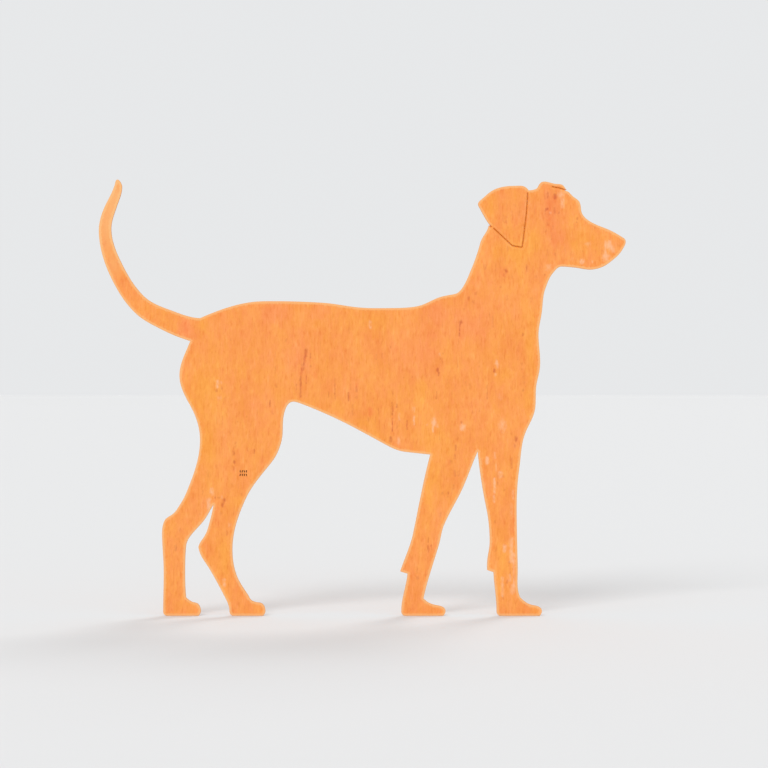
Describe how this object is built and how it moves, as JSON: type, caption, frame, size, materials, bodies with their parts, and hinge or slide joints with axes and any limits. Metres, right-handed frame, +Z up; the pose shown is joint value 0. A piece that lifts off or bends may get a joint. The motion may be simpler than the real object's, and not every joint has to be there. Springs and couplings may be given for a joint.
{
  "type": "sheet-steel hound silhouette",
  "caption": "Flat life-size hound silhouette cut from sheet steel with a bright rust patina, standing on flat soles that are fixed in the ground.",
  "frame": {"origin": "on the ground below the middle of the figure's length, halfway through the sheet", "axes": "+X towards the nose along the length, +Y through the sheet's thickness, +Z up"},
  "size_m": [1, 0.003, 0.828],
  "materials": {
    "rusted_steel": "matte bright orange rust patina with fine upright streaks over mild sheet steel"
  },
  "bodies": {
    "root": {"hound_plate": "rusted_steel"}
  },
  "joints": []
}
